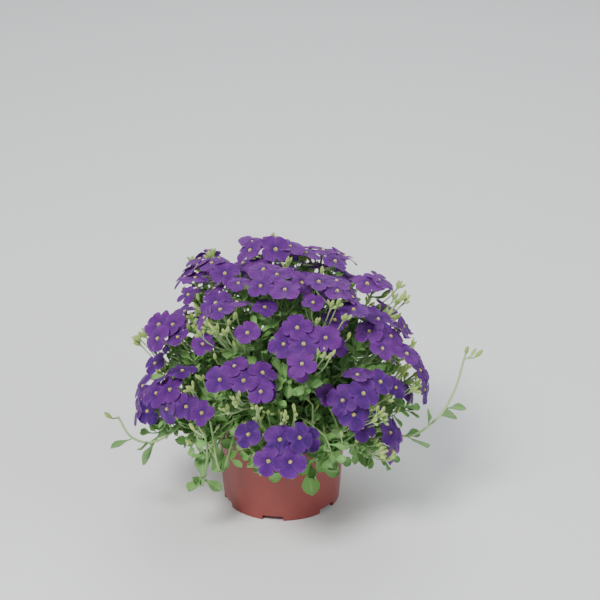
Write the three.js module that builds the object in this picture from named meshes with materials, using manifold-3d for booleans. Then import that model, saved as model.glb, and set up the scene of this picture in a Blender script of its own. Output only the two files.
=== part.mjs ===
// A purple aubrieta in a terracotta-coloured plastic pot, in millimetres, +Z up.
// The origin is the middle of the pot's underside, on the surface it stands on.
// The pot is filled with compost. Leafy flowering stems stand in holes in the compost, and each one is a
// green solid that ends in a fork of flower stalks, with one purple solid of overlapping flowers on top.
import * as THREE from "three";
import { mergeVertices } from "three/addons/utils/BufferGeometryUtils.js";
import Module from "manifold-3d";

// Pot
const POT_HEIGHT = 90;
const POT_TOP_RADIUS = 54;
const POT_BASE_RADIUS = 47;
const WALL = 2.2;
const LIP_HEIGHT = 9;
const LIP_OUT = 2;
const POT_SIDES = 24;
const MERGE = 0.1;
const LEAST_CORNER_GAP = 0.001;
const FLOOR_THICKNESS = 2;
const CHANNEL_HEIGHT = 4;
const CHANNEL_INNER_RADIUS = 27;
const FOOT_WIDTH = 4;
const NOTCHES = 6;
const NOTCH_WIDTH = 17;
const NOTCH_HEIGHT = 4.5;
const FIRST_NOTCH = -1.72;
const DRAIN_RADIUS = 3.2;

// Compost
const SOIL_BELOW_RIM = 9;
const SOIL_CROWN = 3;
const GAP = 0.3;
const HOLE_DEPTH = 12;

// Plant
const SPRAYS = 26;
const SEED = 10;
const GOLDEN_ANGLE = Math.PI * (3 - Math.sqrt(5));
const FIRST_AZIMUTH = 2.18;
const CROWDING = 1.08;
const LOWEST_POLAR = 1.72;
const TRAILING_POLAR = 1.26;
const DOME_RADIUS = 105;
const DOME_HEIGHT = 112;
const DOME_CENTRE = 104;
const CROWN_RADIUS = 35;
const STEM_BASE_RADIUS = 1.3;
const STEM_TIP_RADIUS = 0.9;
const UPTURN = 0.8;
const FORK_DEPTH = 12;
const FOOT_DEPTH = 9;

// Flowers
const FLOWER_RADIUS = 12;
const PETAL_THICKNESS = 0.65;
const PETAL_SPREAD = 0.52;
const PETAL_DROOP = 1.4;
const NOTCH_SHARE = 0.34;
const FLOWER_SPACING = 17.4;
const SPACING_RANGE = 6;
const RISE_RANGE = 11;
const TILT_RANGE = 1;
const SIZE_RANGE = 2.4;
const PLACES = 5;
const HEAD_TRIES = 200;
const TOP_RISE = 4.3;
const TOP_TURN = 1.2;
const RING_TILT = 0.3;
const CALYX_LENGTH = 7;
const CALYX_RADIUS = 1.6;
const STALK_RADIUS = 0.8;
const STALK_ROOT_RADIUS = 0.4;
const BUD_RADIUS = 1.5;
const BUD_FAN = 0.7;

// Leaves
const LEAF_LENGTH = 23;
const LEAF_WIDTH = 13;
const LEAF_THICKNESS = 0.65;
const LEAF_TRIES = 16;
const LEAF_CLEARANCE = 0.4;
const LOWEST_LEAF = 0.16;
const HIGHEST_LEAF = 0.84;

// Four flowerless shoots hang clear of the mound: each is drawn through these points
const SHOOTS = [
  {
    name: "shoot_left",
    route: [
      [-41, -10, 0], [-46, -12, 93], [-60, -16, 97], [-80, -34, 80],
      [-102, -44, 70], [-118, -46, 76], [-128, -42, 92],
    ],
    leaves: 4,
    buds: 1,
  },
  {
    name: "shoot_hanging",
    route: [
      [-28, -30, 0], [-32, -35, 93], [-39, -44, 97], [-52, -55, 76],
      [-63, -60, 44], [-62, -67, 44], [-57, -74, 72], [-58, -80, 96],
    ],
    leaves: 5,
    buds: 3,
  },
  {
    name: "shoot_front",
    route: [
      [32, -29, 0], [36, -34, 93], [41, -42, 97], [40, -51, 80],
      [22, -61, 60], [2, -63, 51], [-14, -62, 60],
    ],
    leaves: 4,
    buds: 0,
  },
  {
    name: "shoot_right",
    route: [
      [40, -14, 0], [44, -16, 93], [56, -21, 97], [74, -29, 80],
      [100, -38, 72], [124, -36, 88], [138, -24, 108], [145, -14, 130],
    ],
    leaves: 5,
    buds: 3,
  },
];

const COLOURS = {
  pot: "#8d4a44",
  compost: "#3b2b20",
  foliage: "#6d9457",
  flowers: "#5b2d9a",
};

const wasm = await Module();
wasm.setup();
const UP = new THREE.Vector3(0, 0, 1);

// Seeded draws: the same keys always give the same number from 0 to 1
const draw = (...keys) => {
  const weights = [12.9898, 78.233, 37.719];
  const wave = Math.sin(keys.reduce((sum, key, n) => sum + key * weights[n], SEED)) * 43758.5453;
  return wave - Math.floor(wave);
};
const jitter = (width, ...keys) => (draw(...keys) - 0.5) * width;

const polarPoint = (radius, azimuth, z) =>
  new THREE.Vector3(radius * Math.cos(azimuth), radius * Math.sin(azimuth), z);
const along = (from, direction, distance) => from.clone().addScaledVector(direction, distance);
const cross = (a, b) => new THREE.Vector3().crossVectors(a, b).normalize();

// Solids
function solid(geometry) {
  const bare = geometry.clone();
  bare.deleteAttribute("normal");
  bare.deleteAttribute("uv");
  const merged = mergeVertices(bare, 1e-4);
  return new wasm.Manifold(
    new wasm.Mesh({
      numProp: 3,
      vertProperties: new Float32Array(merged.attributes.position.array),
      triVerts: new Uint32Array(merged.index.array),
    }),
  );
}

function solidOf(points, triangles) {
  const geometry = new THREE.BufferGeometry().setFromPoints(points);
  geometry.setIndex(triangles.flat());
  return solid(geometry);
}

const union = (solids) => solids.reduce((sum, one) => sum.add(one)).simplify(MERGE);

function meshOf(name, made, colour, roughness) {
  const { vertProperties, triVerts, numProp } = made.getMesh();
  const geometry = new THREE.BufferGeometry();
  const positions = new Float32Array((vertProperties.length / numProp) * 3);
  for (let v = 0; v < positions.length / 3; v++)
    positions.set(vertProperties.subarray(v * numProp, v * numProp + 3), v * 3);
  geometry.setAttribute("position", new THREE.BufferAttribute(positions, 3));
  geometry.setIndex(new THREE.BufferAttribute(triVerts, 1));
  geometry.computeVertexNormals();
  const material = new THREE.MeshStandardMaterial({ color: colour, roughness, flatShading: true });
  const mesh = new THREE.Mesh(geometry, material);
  mesh.name = name;
  return mesh;
}

// A three-sided rod through a row of points, each with its own radius; a radius of 0 makes a sharp end
function rod(points, radii) {
  const vertices = [];
  let across = cross(along(points[1], points[0], -1), new THREE.Vector3(0.31, 0.17, 0.94));
  const rings = points.map((point, n) => {
    const first = vertices.length;
    if (radii[n] === 0) {
      vertices.push(point);
      return [first, first, first];
    }
    const before = points[Math.max(n - 1, 0)];
    const after = points[Math.min(n + 1, points.length - 1)];
    const forward = along(after, before, -1).normalize();
    across = along(across, forward, -across.dot(forward)).normalize();
    const other = cross(forward, across);
    for (let side = 0; side < 3; side++) {
      const turn = (side / 3) * 2 * Math.PI;
      const edge = along(point, across, radii[n] * Math.cos(turn));
      vertices.push(along(edge, other, radii[n] * Math.sin(turn)));
    }
    return [first, first + 1, first + 2];
  });
  const triangles = [[...rings[0]].reverse(), rings.at(-1)];
  for (let n = 0; n < rings.length - 1; n++)
    for (let side = 0; side < 3; side++) {
      const [a, b] = [rings[n][side], rings[n][(side + 1) % 3]];
      const [c, d] = [rings[n + 1][side], rings[n + 1][(side + 1) % 3]];
      triangles.push([a, b, c], [b, d, c]);
    }
  return solidOf(vertices, triangles.filter((corners) => new Set(corners).size === 3));
}

// A thin blade between an outline and the same outline lowered, split into the same triangles on both faces
function blade(outline, faces, thickness) {
  const count = outline.length;
  const triangles = faces.flatMap(([a, b, c]) => [[a, b, c], [c + count, b + count, a + count]]);
  outline.forEach((_, a) => {
    const b = (a + 1) % count;
    triangles.push([a + count, b + count, a], [b + count, b, a]);
  });
  return solidOf([...outline, ...outline.map((point) => along(point, UP, -thickness))], triangles);
}

function place(made, origin, xAxis, zAxis) {
  const yAxis = cross(zAxis, xAxis);
  const matrix = new THREE.Matrix4().makeBasis(cross(yAxis, zAxis), yAxis, zAxis.clone().normalize());
  return made.transform(matrix.setPosition(origin).elements);
}

// Pot: a tapered wall with a lip, a floor raised round its middle as a drainage channel, and notched feet
const wallRadius = (z) => POT_BASE_RADIUS + ((POT_TOP_RADIUS - POT_BASE_RADIUS) * z) / POT_HEIGHT;

function lathe(profile, sides) {
  const closed = [...profile, profile[0]].map(([radius, z]) => new THREE.Vector2(radius, z));
  const geometry = new THREE.LatheGeometry(closed, sides);
  geometry.rotateX(Math.PI / 2);
  const made = solid(geometry);
  if (made.volume() > 0) return made;
  const flipped = geometry.toNonIndexed();
  const positions = flipped.attributes.position.array;
  for (let n = 0; n < positions.length; n += 9) {
    const second = positions.slice(n + 3, n + 6);
    positions.copyWithin(n + 3, n + 6, n + 9);
    positions.set(second, n + 6);
  }
  return solid(flipped);
}

function makePot() {
  const footInner = POT_BASE_RADIUS - FOOT_WIDTH;
  const channelTop = CHANNEL_HEIGHT + FLOOR_THICKNESS;
  const lipZ = POT_HEIGHT - LIP_HEIGHT;
  const shell = lathe(
    [
      [0, 0],
      [CHANNEL_INNER_RADIUS, 0],
      [CHANNEL_INNER_RADIUS + FLOOR_THICKNESS, CHANNEL_HEIGHT],
      [footInner - FLOOR_THICKNESS, CHANNEL_HEIGHT],
      [footInner, 0],
      [POT_BASE_RADIUS, 0],
      [wallRadius(lipZ), lipZ],
      [wallRadius(lipZ) + LIP_OUT, lipZ],
      [POT_TOP_RADIUS + LIP_OUT, POT_HEIGHT],
      [POT_TOP_RADIUS - WALL, POT_HEIGHT],
      [wallRadius(channelTop) - WALL, channelTop],
      [CHANNEL_INNER_RADIUS, channelTop],
      [CHANNEL_INNER_RADIUS - FLOOR_THICKNESS, FLOOR_THICKNESS],
      [0, FLOOR_THICKNESS],
    ],
    POT_SIDES,
  );
  const cuts = [];
  for (let n = 0; n < NOTCHES; n++) {
    const azimuth = FIRST_NOTCH + (n / NOTCHES) * 2 * Math.PI;
    const notch = new THREE.BoxGeometry(2 * FOOT_WIDTH + 8, NOTCH_WIDTH, 2 * NOTCH_HEIGHT);
    notch.rotateZ(azimuth);
    notch.translate(POT_BASE_RADIUS * Math.cos(azimuth), POT_BASE_RADIUS * Math.sin(azimuth), 0);
    cuts.push(solid(notch));
    const drain = new THREE.CylinderGeometry(DRAIN_RADIUS, DRAIN_RADIUS, 4 * CHANNEL_HEIGHT, 6);
    drain.rotateX(Math.PI / 2);
    const drainRing = (CHANNEL_INNER_RADIUS + footInner) / 2;
    const between = azimuth + Math.PI / NOTCHES;
    drain.translate(drainRing * Math.cos(between), drainRing * Math.sin(between), CHANNEL_HEIGHT);
    cuts.push(solid(drain));
  }
  return shell.subtract(union(cuts));
}

// Compost: fills the pot, a little proud in the middle, with a hole for each stem
const soilZ = (radius) => POT_HEIGHT - SOIL_BELOW_RIM + SOIL_CROWN * (1 - (radius / POT_TOP_RADIUS) ** 2);

function makeCompost(plans) {
  const channelTop = CHANNEL_HEIGHT + FLOOR_THICKNESS + GAP;
  const edge = wallRadius(POT_HEIGHT - SOIL_BELOW_RIM) - WALL - GAP;
  const body = lathe(
    [
      [0, FLOOR_THICKNESS + GAP],
      [CHANNEL_INNER_RADIUS - FLOOR_THICKNESS - GAP, FLOOR_THICKNESS + GAP],
      [CHANNEL_INNER_RADIUS - GAP, channelTop],
      [wallRadius(channelTop) - WALL - GAP, channelTop],
      [edge, POT_HEIGHT - SOIL_BELOW_RIM],
      [0, soilZ(0)],
    ],
    POT_SIDES,
  );
  const holes = plans.map(({ base }) => {
    const radius = (STEM_BASE_RADIUS + GAP + 0.05) * Math.SQRT2;
    const hole = new THREE.CylinderGeometry(radius, radius, 2 * HOLE_DEPTH, 4);
    hole.rotateX(Math.PI / 2);
    hole.translate(base.x, base.y, base.z);
    return solid(hole);
  });
  return body.subtract(union(holes));
}

// Where each spray stands, and where its fork and flowers are
function planSpray(i) {
  const share = (i + 0.5) / SPRAYS;
  const azimuth = i * GOLDEN_ANGLE + FIRST_AZIMUTH + jitter(0.16, i, 1);
  const polar = Math.acos(1 - share ** CROWDING * (1 - Math.cos(LOWEST_POLAR)));
  const trailing = polar > TRAILING_POLAR;
  const reach = 1 + jitter(0.12, i, 2) + (trailing ? 0.02 : 0);
  const outward = polarPoint(1, azimuth, 0);
  const dome = along(new THREE.Vector3(), outward, Math.sin(polar) * DOME_RADIUS * reach);
  dome.z = DOME_CENTRE + DOME_HEIGHT * reach * Math.cos(polar);
  const axis = along(UP.clone().multiplyScalar(Math.cos(polar) + UPTURN), outward, Math.sin(polar));
  axis.addScaledVector(cross(UP, outward), jitter(0.3, i, 3)).normalize();
  const fork = along(dome, axis, -FORK_DEPTH);
  const foot = along(fork, axis, -FOOT_DEPTH);
  const crown = CROWN_RADIUS * Math.sqrt(share);
  const base = polarPoint(crown, azimuth, soilZ(crown));
  const top = along(fork, axis, FORK_DEPTH + TOP_RISE + jitter(2, i, 6));
  const calyxTop = along(top, axis, -PETAL_THICKNESS - GAP);
  const calyxFoot = along(calyxTop, axis, -CALYX_LENGTH);
  const leaves = trailing ? 4 : 3;
  const curve = stemCurve({ i, azimuth, trailing, axis, foot, base });
  const points = [...curve.getPoints(trailing ? 4 : 3), calyxFoot];
  return { i, trailing, outward, axis, fork, base, top, calyxTop, leaves, points };
}

function stemCurve({ trailing, azimuth, base, foot, axis, i }) {
  const span = base.distanceTo(foot);
  if (!trailing) {
    const bend = along(foot, axis, -0.4 * span);
    return new THREE.CubicBezierCurve3(base, along(base, UP, 0.42 * span), bend, foot);
  }
  const overRim = polarPoint(POT_TOP_RADIUS + 1, azimuth, POT_HEIGHT + 9 + jitter(4, i, 4));
  const sag = polarPoint(POT_TOP_RADIUS + 22, azimuth + jitter(0.1, i, 5), POT_HEIGHT - 9 + jitter(8, i, 8));
  sag.z = Math.min(sag.z, foot.z + 6);
  const rise = along(base, UP, 10).addScaledVector(polarPoint(1, azimuth, 0), 3);
  return new THREE.CatmullRomCurve3([base, rise, overRim, sag, foot], false, "centripetal");
}

// A flowerless shoot that hangs over the rim, through points chosen by hand
function planShoot({ i, route, buds, leaves }) {
  const [start, ...rest] = route.map((point) => new THREE.Vector3(...point));
  const base = start.setZ(soilZ(Math.hypot(start.x, start.y)));
  const points = new THREE.CatmullRomCurve3([base, ...rest], false, "centripetal").getPoints(7);
  const axis = along(points.at(-1), points.at(-2), -1).normalize();
  const outward = points.at(-1).clone().setZ(0).normalize();
  const fork = along(points.at(-1), axis, -2);
  return { i, attempt: 0, trailing: true, outward, axis, fork, base, points, leaves, buds };
}

// One flower tops the fork, and three to five stand round it in five places; the fewest leave room for buds
function placesRound({ i, axis, attempt }) {
  const side = cross(axis, new THREE.Vector3(0.2, 0.9, 0.38));
  const other = cross(axis, side);
  const start = draw(i, attempt, 9) * 2 * Math.PI;
  const towards = (turn) => along(side.clone().multiplyScalar(Math.cos(turn)), other, Math.sin(turn));
  return { start, towards, count: 4 + Math.floor(2.4 * draw(i, 7)) };
}

function planFlowers(plan) {
  const { i, axis, fork, top, attempt } = plan;
  const { start, towards, count } = placesRound(plan);
  return Array.from({ length: count }, (_, j) => {
    const vary = (width, kind) => jitter(width, i + 100 * attempt, j, kind);
    const radius = FLOWER_RADIUS + vary(SIZE_RANGE, 10);
    if (j === 0) {
      const radial = towards(start + TOP_TURN + vary(0.5, 11));
      return { j, radial, normal: axis, centre: top, radius };
    }
    const spoke = towards(start + ((j - 1) / PLACES) * 2 * Math.PI + vary(0.6, 11));
    const tilt = RING_TILT + vary(TILT_RANGE, 12);
    const normal = along(axis.clone().multiplyScalar(Math.cos(tilt)), spoke, Math.sin(tilt)).normalize();
    const raised = along(fork, axis, FORK_DEPTH + vary(RISE_RANGE, 13));
    const centre = along(raised, spoke, FLOWER_SPACING + vary(SPACING_RANGE, 14));
    return { j, radial: towards(start + vary(2 * Math.PI, 15)), normal, centre, radius };
  });
}

// A flower: four broad petals that droop from a flat square middle, in one blade notched between them
const CORNERS = [0, 3, 6, 9];
const PETAL_FACES = CORNERS.flatMap((n) => [[n, n + 1, n + 2], [n, n + 2, (n + 3) % 12]]);
const FLOWER_FACES = [[0, 3, 6], [0, 6, 9], ...PETAL_FACES];

function makeFlower(i, { j, radial, normal, centre, radius }) {
  const outline = CORNERS.flatMap((_, petal) => {
    const middle = (petal + 0.5) * (Math.PI / 2);
    const droop = -PETAL_DROOP + jitter(1.6, i * 10 + j, petal, 16);
    const edge = (turn) => polarPoint(radius, middle + turn, droop);
    const notch = polarPoint(radius * NOTCH_SHARE, middle - Math.PI / 4, 0);
    return [notch, edge(-PETAL_SPREAD), edge(PETAL_SPREAD)];
  });
  return place(blade(outline, FLOWER_FACES, PETAL_THICKNESS), centre, radial, normal);
}

function makeStalk({ fork, axis }, { centre, normal, j }) {
  const top = along(centre, normal, -PETAL_THICKNESS - GAP);
  const bottom = along(top, normal, -CALYX_LENGTH);
  const root = along(fork, axis, -1.2 * j);
  return rod([root, bottom, top], [STALK_ROOT_RADIUS, STALK_RADIUS, CALYX_RADIUS]);
}

function makeBuds(plan) {
  const { i, fork, axis, attempt } = plan;
  const { start, towards, count } = placesRound(plan);
  const buds = plan.buds ?? (count === 4 ? 2 : 0);
  return Array.from({ length: buds }, (_, n) => {
    const fan = (n - (buds - 1) / 2) * BUD_FAN + jitter(0.2, i + 100 * attempt, n, 17);
    const lean = towards(start - Math.PI / 2 + fan);
    const at = (rise, out) => along(along(fork, axis, rise), lean, out);
    const grow = 0.8 + 0.4 * draw(i, n, 18);
    const root = at(-1 - n, 0);
    const neck = at(5, 8.5);
    const belly = at(5 + 4 * grow, 8.5 + 2.8 * grow);
    const tip = at(5 + 7.5 * grow, 8.5 + 4.4 * grow);
    return rod([root, neck, belly, tip], [STALK_ROOT_RADIUS, STALK_RADIUS, BUD_RADIUS, 0]);
  });
}

function makeStem({ base, points, calyxTop }) {
  const buried = along(base, UP, -(HOLE_DEPTH - 2 * GAP));
  const taper = (STEM_TIP_RADIUS - STEM_BASE_RADIUS) / (points.length - 1);
  const radii = [STEM_BASE_RADIUS, ...points.map((_, n) => STEM_BASE_RADIUS + taper * n)];
  if (!calyxTop) return rod([buried, ...points], radii);
  return rod([buried, ...points, calyxTop], [...radii, CALYX_RADIUS]);
}

// A leaf: narrow at its foot, broad past the middle, with a tooth on each side of its blunt tip
function makeLeaf(root, direction, up, length, width, fold) {
  const point = (share, side) => new THREE.Vector3(length * share, (width / 2) * side, fold * Math.abs(side));
  const left = [point(0, 0), point(0.7, -1), point(0.8, -0.62)];
  const outline = [...left, point(1, 0), point(0.8, 0.62), point(0.7, 1)];
  const faces = [[0, 1, 2], [0, 2, 3], [0, 3, 4], [0, 4, 5]];
  return place(blade(outline, faces, LEAF_THICKNESS), along(root, up, LEAF_THICKNESS / 2), direction, up);
}

// True if no two corners of a solid lie on nearly the same spot, where rounding would open its shell
function crisp(made) {
  const { vertProperties, numProp } = made.getMesh();
  const corners = [];
  for (let v = 0; v < vertProperties.length; v += numProp) corners.push(vertProperties.subarray(v, v + 3));
  corners.sort((a, b) => a[0] - b[0]);
  return corners.every((corner, n) => {
    for (let m = n + 1; m < corners.length && corners[m][0] - corner[0] < LEAST_CORNER_GAP; m++)
      if (Math.hypot(...corner.map((x, k) => x - corners[m][k])) < LEAST_CORNER_GAP) return false;
    return true;
  });
}

// The flowers, stalks and buds of a head: redrawn until the flowers hold together and clear everything else
function growHead(plan, others) {
  for (plan.attempt = 0; plan.attempt < HEAD_TRIES; plan.attempt++) {
    const round = planFlowers(plan);
    const head = union(round.map((flower) => makeFlower(plan.i, flower)));
    plan.twigs = [...round.slice(1).map((flower) => makeStalk(plan, flower)), ...makeBuds(plan)];
    const green = union([stems[plan.i], ...plan.twigs]);
    const apart = others.every((other) => clear(head, other) && clear(green, other));
    const sound = head.decompose().length === 1 && crisp(head);
    if (apart && sound && head.minGap(green, GAP) > GAP / 2) {
      flowers[plan.i] = head;
      foliage[plan.i] = green;
      return;
    }
  }
  throw new Error(`no room for head ${plan.i + 1}`);
}

// Leaves grow along a stem, each turned until it clears every other piece, or left out
function makeLeaves(plan, others) {
  const kept = [];
  const { i, points, outward, trailing, leaves } = plan;
  for (let n = 0; n < leaves; n++) {
    const share = LOWEST_LEAF + (n / leaves) * (HIGHEST_LEAF - LOWEST_LEAF) + jitter(0.06, i, n, 20);
    const segment = Math.floor(share * (points.length - 1));
    const [below, above] = [points[segment], points[segment + 1]];
    const root = below.clone().lerp(above, share * (points.length - 1) - segment);
    const tangent = along(above, below, -1).normalize();
    const side = cross(tangent, new THREE.Vector3(0.3, 0.2, 0.93));
    const other = cross(tangent, side);
    const size = 0.85 + 0.35 * draw(i, n, 22);
    const fold = 0.8 + 1.4 * draw(i, n, 23);
    for (let attempt = 0; attempt < LEAF_TRIES; attempt++) {
      const turn = (n + attempt) * GOLDEN_ANGLE + draw(i, 21) * 2 * Math.PI;
      const away = along(side.clone().multiplyScalar(Math.cos(turn)), other, Math.sin(turn));
      const direction = along(away, tangent, 0.45).addScaledVector(outward, trailing ? 0.55 : 0.35);
      direction.addScaledVector(UP, trailing ? -0.3 : 0).normalize();
      const facing = along(UP, outward, 0.6);
      const up = along(facing, direction, -facing.dot(direction));
      if (up.length() < 0.3) continue;
      const leaf = makeLeaf(root, direction, up.normalize(), LEAF_LENGTH * size, LEAF_WIDTH * size, fold);
      if ([...others, ...plan.twigs, ...kept].every((piece) => clear(leaf, piece))) {
        kept.push(leaf);
        break;
      }
    }
  }
  return kept;
}

function boxesMeet(a, b, margin) {
  const [p, q] = [a.boundingBox(), b.boundingBox()];
  return [0, 1, 2].every((k) => p.min[k] - margin < q.max[k] && q.min[k] - margin < p.max[k]);
}
const clear = (a, b) => !boxesMeet(a, b, LEAF_CLEARANCE) || a.minGap(b, LEAF_CLEARANCE) >= LEAF_CLEARANCE;

// The whole plant in its pot
const sprays = Array.from({ length: SPRAYS }, (_, i) => planSpray(i));
const shoots = SHOOTS.map((shoot, n) => planShoot({ i: SPRAYS + n, ...shoot }));
const plans = [...sprays, ...shoots];
const pot = makePot();
const compost = makeCompost(plans);
const stems = plans.map(makeStem);
const flowers = [];
const foliage = [...stems];
shoots.forEach((plan) => {
  plan.twigs = makeBuds(plan);
  foliage[plan.i] = union([stems[plan.i], ...plan.twigs]);
});
sprays.forEach((plan) => growHead(plan, [...flowers, ...foliage.filter((_, n) => n !== plan.i)]));
plans.forEach((plan, i) => {
  const others = [pot, compost, ...flowers, ...foliage.filter((_, n) => n !== i)];
  foliage[i] = union([foliage[i], ...makeLeaves(plan, others)]);
});

const plant = new THREE.Group();
plant.add(meshOf("pot", pot, COLOURS.pot, 0.55));
plant.add(meshOf("compost", compost, COLOURS.compost, 0.95));
sprays.forEach(({ i }) => {
  const number = String(i + 1).padStart(2, "0");
  plant.add(meshOf(`leafy_stem_${number}`, foliage[i], COLOURS.foliage, 0.6));
  plant.add(meshOf(`flowers_${number}`, flowers[i], COLOURS.flowers, 0.5));
});
shoots.forEach(({ i }, n) => plant.add(meshOf(SHOOTS[n].name, foliage[i], COLOURS.foliage, 0.6)));

export default plant;
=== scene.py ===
from math import acos, atan2, cos, floor, hypot, pi, radians, sin, sqrt
from types import SimpleNamespace

import bpy
import numpy as np
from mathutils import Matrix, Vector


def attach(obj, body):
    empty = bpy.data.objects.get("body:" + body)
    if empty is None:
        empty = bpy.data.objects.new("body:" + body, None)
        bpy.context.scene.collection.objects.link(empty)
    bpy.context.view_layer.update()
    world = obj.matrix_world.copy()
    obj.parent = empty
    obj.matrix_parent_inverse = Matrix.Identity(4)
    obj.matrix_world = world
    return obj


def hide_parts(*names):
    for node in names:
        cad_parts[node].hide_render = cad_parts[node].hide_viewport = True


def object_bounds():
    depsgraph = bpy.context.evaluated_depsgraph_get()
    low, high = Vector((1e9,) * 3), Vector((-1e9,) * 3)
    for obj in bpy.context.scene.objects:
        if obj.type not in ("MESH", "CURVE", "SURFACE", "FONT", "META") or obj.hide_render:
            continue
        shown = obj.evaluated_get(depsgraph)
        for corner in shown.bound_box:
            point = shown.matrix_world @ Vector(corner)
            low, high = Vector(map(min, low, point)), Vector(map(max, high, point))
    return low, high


# A purple aubrieta in a reddish plastic pot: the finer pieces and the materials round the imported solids.
# Lengths are millimetres and angles radians. A mesh is turned into metres as it is made.
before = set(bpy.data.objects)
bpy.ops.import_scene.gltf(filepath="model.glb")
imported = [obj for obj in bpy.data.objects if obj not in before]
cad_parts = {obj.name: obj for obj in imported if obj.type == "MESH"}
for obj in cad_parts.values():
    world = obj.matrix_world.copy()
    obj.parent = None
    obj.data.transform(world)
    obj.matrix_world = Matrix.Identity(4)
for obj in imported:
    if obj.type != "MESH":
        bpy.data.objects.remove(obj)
cad_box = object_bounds()
MM = 0.001
TURN = 2 * pi

# Pot and compost, as in the part's source
POT_HEIGHT = 90
POT_TOP_RADIUS = 54
POT_BASE_RADIUS = 47
WALL = 2.2
LIP_HEIGHT = 9
LIP_OUT = 2
FLOOR_THICKNESS = 2
CHANNEL_HEIGHT = 4
CHANNEL_INNER_RADIUS = 27
FOOT_WIDTH = 4
NOTCHES = 6
NOTCH_WIDTH = 17
NOTCH_HEIGHT = 4.5
FIRST_NOTCH = -1.72
DRAIN_RADIUS = 3.2
SOIL_BELOW_RIM = 9
SOIL_CROWN = 3
GAP = 0.3
HOLE_DEPTH = 12

# Plan of the plant, as in the part's source
SPRAYS = 26
SEED = 10
DRAW_WEIGHTS = (12.9898, 78.233, 37.719)
DRAW_SPREAD = 43758.5453
GOLDEN_ANGLE = pi * (3 - sqrt(5))
FIRST_AZIMUTH = 2.18
CROWDING = 1.08
LOWEST_POLAR = 1.72
TRAILING_POLAR = 1.26
DOME_RADIUS = 105
DOME_HEIGHT = 112
DOME_CENTRE = 104
CROWN_RADIUS = 35
STEM_BASE_RADIUS = 1.3
STEM_TIP_RADIUS = 0.9
UPTURN = 0.8
FORK_DEPTH = 12
FOOT_DEPTH = 9
FLOWER_RADIUS = 12
PETAL_THICKNESS = 0.65
PETAL_SPREAD = 0.52
PETAL_DROOP = 1.4
FLOWER_SPACING = 17.4
SPACING_RANGE = 6
RISE_RANGE = 11
TILT_RANGE = 1
SIZE_RANGE = 2.4
PLACES = 5
HEAD_TRIES = 200
TOP_RISE = 4.3
TOP_TURN = 1.2
RING_TILT = 0.3
CALYX_LENGTH = 7
STALK_RADIUS = 0.8
BUD_FAN = 0.7
LEAF_LENGTH = 23
LEAF_WIDTH = 13
LEAF_THICKNESS = 0.65
LEAF_TRIES = 16
LOWEST_LEAF = 0.16
HIGHEST_LEAF = 0.84

# The shoots that hang clear of the mound: name, number of leaves and of buds, and route
SHOOTS = (
    ("shoot_left", 4, 1, [(-41, -10, 0), (-46, -12, 93), (-60, -16, 97), (-80, -34, 80),
                          (-102, -44, 70), (-118, -46, 76), (-128, -42, 92)]),
    ("shoot_hanging", 5, 3, [(-28, -30, 0), (-32, -35, 93), (-39, -44, 97), (-52, -55, 76),
                             (-63, -60, 44), (-62, -67, 44), (-57, -74, 72), (-58, -80, 96)]),
    ("shoot_front", 4, 0, [(32, -29, 0), (36, -34, 93), (41, -42, 97), (40, -51, 80),
                           (22, -61, 60), (2, -63, 51), (-14, -62, 60)]),
    ("shoot_right", 5, 3, [(40, -14, 0), (44, -16, 93), (56, -21, 97), (74, -29, 80),
                           (100, -38, 72), (124, -36, 88), (138, -24, 108), (145, -14, 130)]),
)

# Fineness
STEM_STEPS = 22
TWIG_STEPS = 6
RIM_STEPS = 12
SWEEPING_STEPS = 20
STEM_SIDES = 8
TWIG_SIDES = 5
CALYX_SIDES = 12
BUD_SIDES = 8
PETAL_ROWS = 8
PETAL_COLUMNS = 6
LEAF_COLUMNS = 4
POT_SIDES = 128
COMPOST_SIDES = 120

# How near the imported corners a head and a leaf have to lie, on average
HEAD_MISFIT = 0.5
LEAF_MISFIT = 0.4

# Finer forms, as shares of a petal's radius, a leaf's length or half its width, and thicknesses
PETAL_SHARES = (0, 0.12, 0.25, 0.4, 0.55, 0.68, 0.8, 0.89, 0.95, 1)
PETAL_HALF_WIDTHS = (0.08, 0.16, 0.31, 0.44, 0.52, 0.54, 0.5, 0.41, 0.3, 0.12)
PETAL_START = 0.05
PETAL_REACH = 0.97
PETAL_TIP_BEND = 0.05
PETAL_FRILL = 0.018
PETAL_FINE_THICKNESS = 0.35
PETAL_CREASE = 0.09
PETAL_ROLL = 0.24
PETAL_LIFT = 0.09
PETAL_CUP = 0.15
PETAL_WAVE = 0.03
THROAT_SHARE = 0.18
THROAT_DEPTH = 1.6
LEAF_OUTLINE = (
    (0, 0.11), (0.16, 0.14), (0.32, 0.3), (0.48, 0.68), (0.6, 0.92), (0.7, 1), (0.76, 0.9), (0.81, 0.92),
    (0.87, 0.74), (0.92, 0.68), (0.97, 0.42), (1, 0.16),
)
LEAF_FINE_THICKNESS = 0.5
ANTHERS = 5
PETAL_TINT_RANGE = 0.45
# The tint of a petal's lower side, which the petal material paints paler as painted light shining through the
# petal
LIT_UNDERSIDE_TINT = 1.5

# Single flowers between the heads
BETWEEN_TRIES = 1400
BETWEEN_RADIUS = 10.4
BETWEEN_SPACING_TOP = 20
BETWEEN_SPACING_LOW = 36
BETWEEN_KEY = 300
HEAD_REACH = 26

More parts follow.
